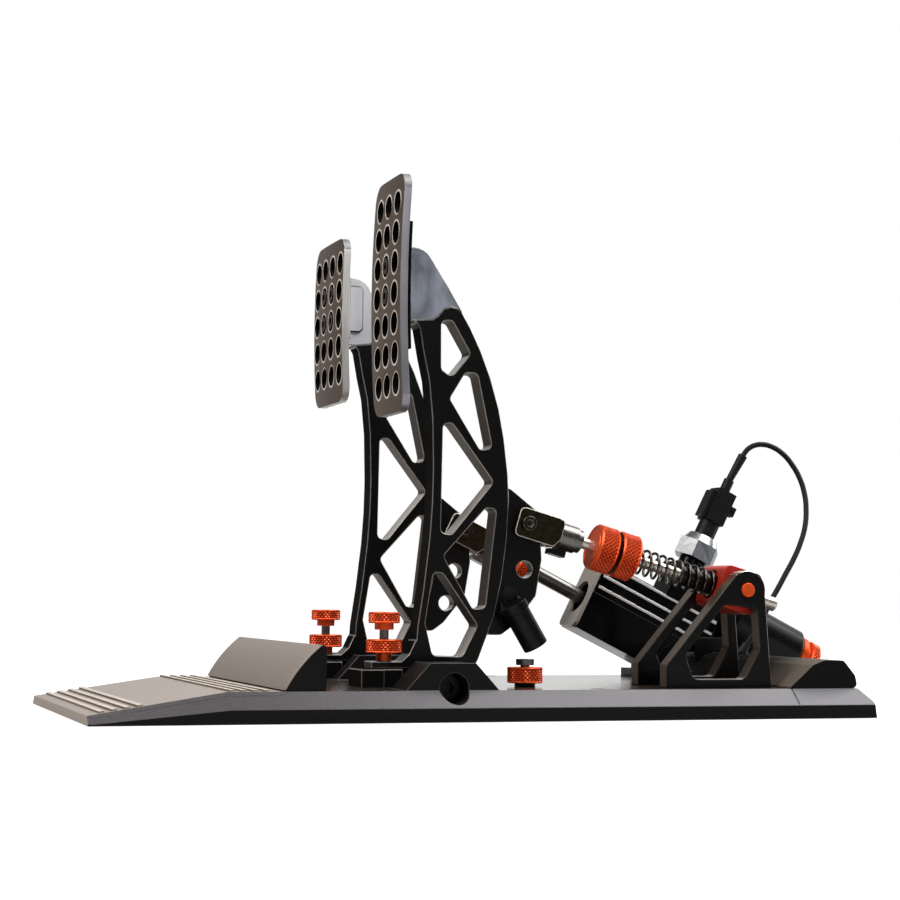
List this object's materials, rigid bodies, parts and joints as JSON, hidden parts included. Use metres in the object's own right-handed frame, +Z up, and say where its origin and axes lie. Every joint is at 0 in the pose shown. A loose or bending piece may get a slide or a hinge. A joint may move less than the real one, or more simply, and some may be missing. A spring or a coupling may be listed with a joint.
{
  "type": "sim racing pedal set",
  "caption": "Sim racing pedal set: throttle and brake arms on a bevelled base, with a sprung throttle link, a hydraulic brake unit, a heel stop and turning adjusters.",
  "frame": {"origin": "middle of the base's flat underside", "axes": "+X points away from the driver along the base, +Y points to the brake side, +Z points up"},
  "size_m": [0.4933, 0.22, 0.2941],
  "materials": {
    "black_alloy": "satin black anodised",
    "warm_alloy": "brushed warm grey",
    "bare_alloy": "machined, bare",
    "orange_alloy": "anodised, knurled",
    "red_alloy": "anodised",
    "steel": "bright",
    "dark_steel": "dark bronze oxide",
    "zinc": "zinc plated",
    "black_steel": "satin black",
    "bronze": "plain",
    "black_plastic": "matte",
    "gloss_plastic": "gloss",
    "rubber": "matte",
    "board": "satin"
  },
  "bodies": {
    "base": {"base_plate": "black_alloy", "heel_plate": "warm_alloy", "heel_stop": "black_alloy", "heel_stop_facing": "warm_alloy", "throttle_axle": "steel", "brake_axle": "steel", "rear_housing": "gloss_plastic", "circuit_board": "board", "usb_socket": "steel", "base_screws": "steel", "throttle_rest_block": "black_alloy", "brake_rest_block": "black_alloy", "trunnion_pins": "orange_alloy", "throttle_frame_outer": "black_alloy", "throttle_frame_inner": "black_alloy", "master_cylinder": "black_alloy", "master_front_cap": "bare_alloy", "slave_barrel": "black_alloy", "barrel_clamp": "black_alloy", "brake_cradle": "black_alloy", "brake_unit_screws": "steel", "pressure_sensor": "zinc", "sensor_connector": "black_plastic", "lead_boot": "rubber", "sensor_lead": "rubber", "lead_grommet": "rubber"},
    "throttle_pedal": {"throttle_arm": "black_alloy", "throttle_bearings": "bronze", "throttle_plate": "bare_alloy", "throttle_plate_screws": "steel", "throttle_bumper": "rubber", "bumper_clip": "black_steel"},
    "brake_pedal": {"brake_arm": "black_alloy", "brake_bearings": "bronze", "brake_plate": "bare_alloy", "brake_plate_screws": "steel"},
    "trunnion": {"trunnion_block": "red_alloy", "guide_sleeve": "black_plastic", "throttle_spring": "black_steel"},
    "throttle_link": {"throttle_clevis": "dark_steel", "throttle_clevis_pin": "steel", "throttle_coupling": "steel", "throttle_rod": "steel"},
    "piston": {"brake_piston": "steel"},
    "brake_link": {"brake_clevis": "dark_steel", "brake_clevis_pin": "steel", "brake_coupling": "steel", "brake_pushrod": "steel"},
    "preload_knob": {"preload_knob": "orange_alloy"},
    "preload_lock": {"preload_lock_knob": "orange_alloy"},
    "brake_rod_knob": {"brake_rod_knob": "orange_alloy"},
    "brake_knob": {"brake_knob": "orange_alloy"},
    "throttle_rest": {"throttle_rest_knob": "orange_alloy", "throttle_rest_screw": "steel"},
    "throttle_lock": {"throttle_lock_nut": "orange_alloy"},
    "brake_rest": {"brake_rest_knob": "orange_alloy", "brake_rest_screw": "steel"},
    "brake_lock": {"brake_lock_nut": "orange_alloy"},
    "floor_screw": {"floor_stop_screw": "steel"},
    "floor_nut": {"floor_stop_nut": "orange_alloy"}
  },
  "joints": [
    {"name": "throttle_press", "type": "hinge", "parent": "base", "child": "throttle_pedal", "pos_m": [-0.026, -0.062, 0.0172], "axis": [0, 1, 0], "range_deg": [0, 17], "stiffness_Nm_per_rad": 12, "springref_deg": -14.32, "deforming": ["throttle_spring"]},
    {"name": "brake_press", "type": "hinge", "parent": "base", "child": "brake_pedal", "pos_m": [-0.026, 0.062, 0.0172], "axis": [0, 1, 0], "range_deg": [0, 6], "stiffness_Nm_per_rad": 150, "springref_deg": -1.72},
    {"name": "trunnion_turn", "type": "hinge", "parent": "base", "child": "trunnion", "pos_m": [0.1515, -0.062, 0.0708], "axis": [0, 1, 0], "range_deg": [-6, 0]},
    {"name": "rod_slide", "type": "slide", "parent": "trunnion", "child": "throttle_link", "axis": [0.9622, 0, -0.2722], "range_m": [0, 0.0282]},
    {"name": "piston_slide", "type": "slide", "parent": "base", "child": "piston", "axis": [0.8965, 0, -0.4431], "range_m": [0, 0.0112]},
    {"name": "pushrod_turn", "type": "hinge", "parent": "piston", "child": "brake_link", "pos_m": [0.12553, 0.062, 0.05803], "axis": [0, 1, 0], "range_deg": [-1, 0]},
    {"name": "preload_knob_turn", "type": "hinge", "parent": "throttle_link", "child": "preload_knob", "pos_m": [0.08624, -0.062, 0.08926], "axis": [0.9622, 0, -0.2722], "continuous": true},
    {"name": "preload_lock_turn", "type": "hinge", "parent": "throttle_link", "child": "preload_lock", "pos_m": [0.07315, -0.062, 0.09296], "axis": [0.9622, 0, -0.2722], "continuous": true},
    {"name": "brake_rod_knob_turn", "type": "hinge", "parent": "brake_link", "child": "brake_rod_knob", "pos_m": [0.07129, 0.062, 0.08484], "axis": [0.8965, 0, -0.4431], "continuous": true},
    {"name": "brake_knob_turn", "type": "hinge", "parent": "base", "child": "brake_knob", "pos_m": [0.26171, 0.062, 0.02731], "axis": [0.8965, 0, -0.4431], "continuous": true},
    {"name": "throttle_rest_turn", "type": "hinge", "parent": "throttle_pedal", "child": "throttle_rest", "pos_m": [-0.0538, -0.062, 0.054], "axis": [0, 0, 1], "continuous": true},
    {"name": "throttle_lock_turn", "type": "hinge", "parent": "throttle_pedal", "child": "throttle_lock", "pos_m": [-0.0538, -0.062, 0.038], "axis": [0, 0, 1], "continuous": true},
    {"name": "brake_rest_turn", "type": "hinge", "parent": "brake_pedal", "child": "brake_rest", "pos_m": [-0.0538, 0.062, 0.054], "axis": [0, 0, 1], "continuous": true},
    {"name": "brake_lock_turn", "type": "hinge", "parent": "brake_pedal", "child": "brake_lock", "pos_m": [-0.0538, 0.062, 0.038], "axis": [0, 0, 1], "continuous": true},
    {"name": "floor_screw_turn", "type": "hinge", "parent": "base", "child": "floor_screw", "pos_m": [0.0294, -0.057, 0.03], "axis": [0, 0, 1], "continuous": true},
    {"name": "floor_nut_turn", "type": "hinge", "parent": "base", "child": "floor_nut", "pos_m": [0.0294, -0.057, 0.023], "axis": [0, 0, 1], "continuous": true}
  ],
  "couplings": [
    {"joint": "trunnion_turn", "follows": "throttle_press", "ratio": -0.3507},
    {"joint": "rod_slide", "follows": "throttle_press", "m_per_rad": 0.093761},
    {"joint": "piston_slide", "follows": "brake_press", "m_per_rad": 0.10297},
    {"joint": "pushrod_turn", "follows": "brake_press", "ratio": -0.1531}
  ]
}
